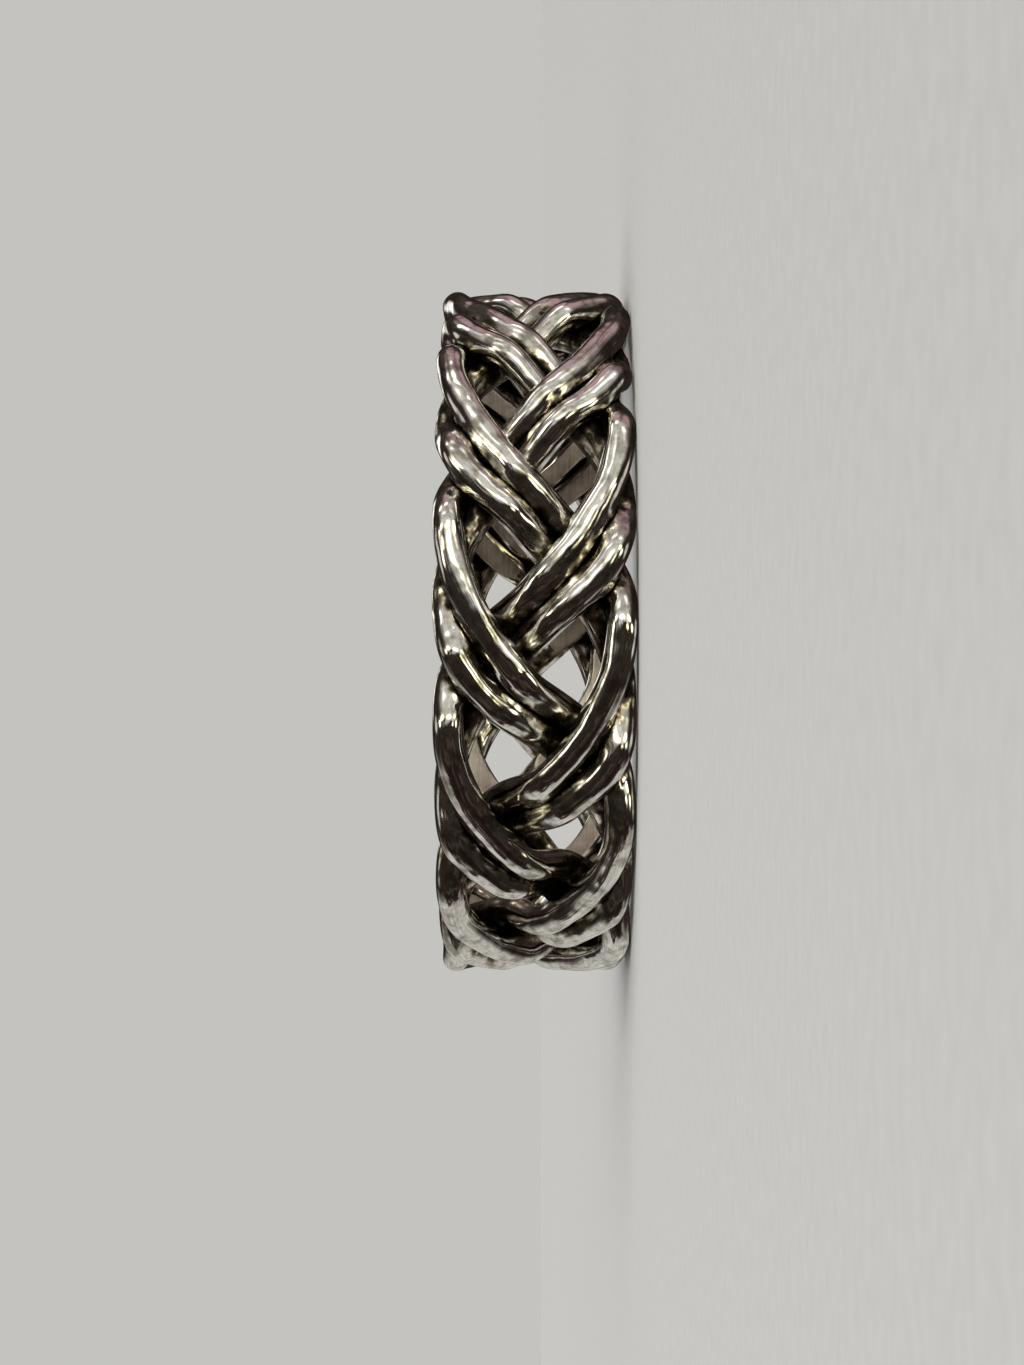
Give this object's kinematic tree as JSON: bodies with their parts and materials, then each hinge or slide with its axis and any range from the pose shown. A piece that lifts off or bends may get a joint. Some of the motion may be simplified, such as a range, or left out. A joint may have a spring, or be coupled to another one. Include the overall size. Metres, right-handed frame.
{
  "type": "braided band ring",
  "caption": "Open braided finger ring of round silver wire, flat and smooth inside the finger bore, with dark oxidised recesses.",
  "frame": {"origin": "on the axis of the finger bore, at the lower edge of the band", "axes": "+Z along the axis of the finger bore, -Y towards the side that the picture shows, joint line at +Y"},
  "size_m": [0.022, 0.022, 0.0059],
  "materials": {
    "silver": "polished sterling silver with a dark sulphide patina in the recesses"
  },
  "bodies": {
    "root": {"strand_1_leading_wire": "silver", "strand_1_trailing_wire": "silver", "strand_2_leading_wire": "silver", "strand_2_trailing_wire": "silver", "strand_3_leading_wire": "silver", "strand_3_trailing_wire": "silver"}
  },
  "joints": []
}
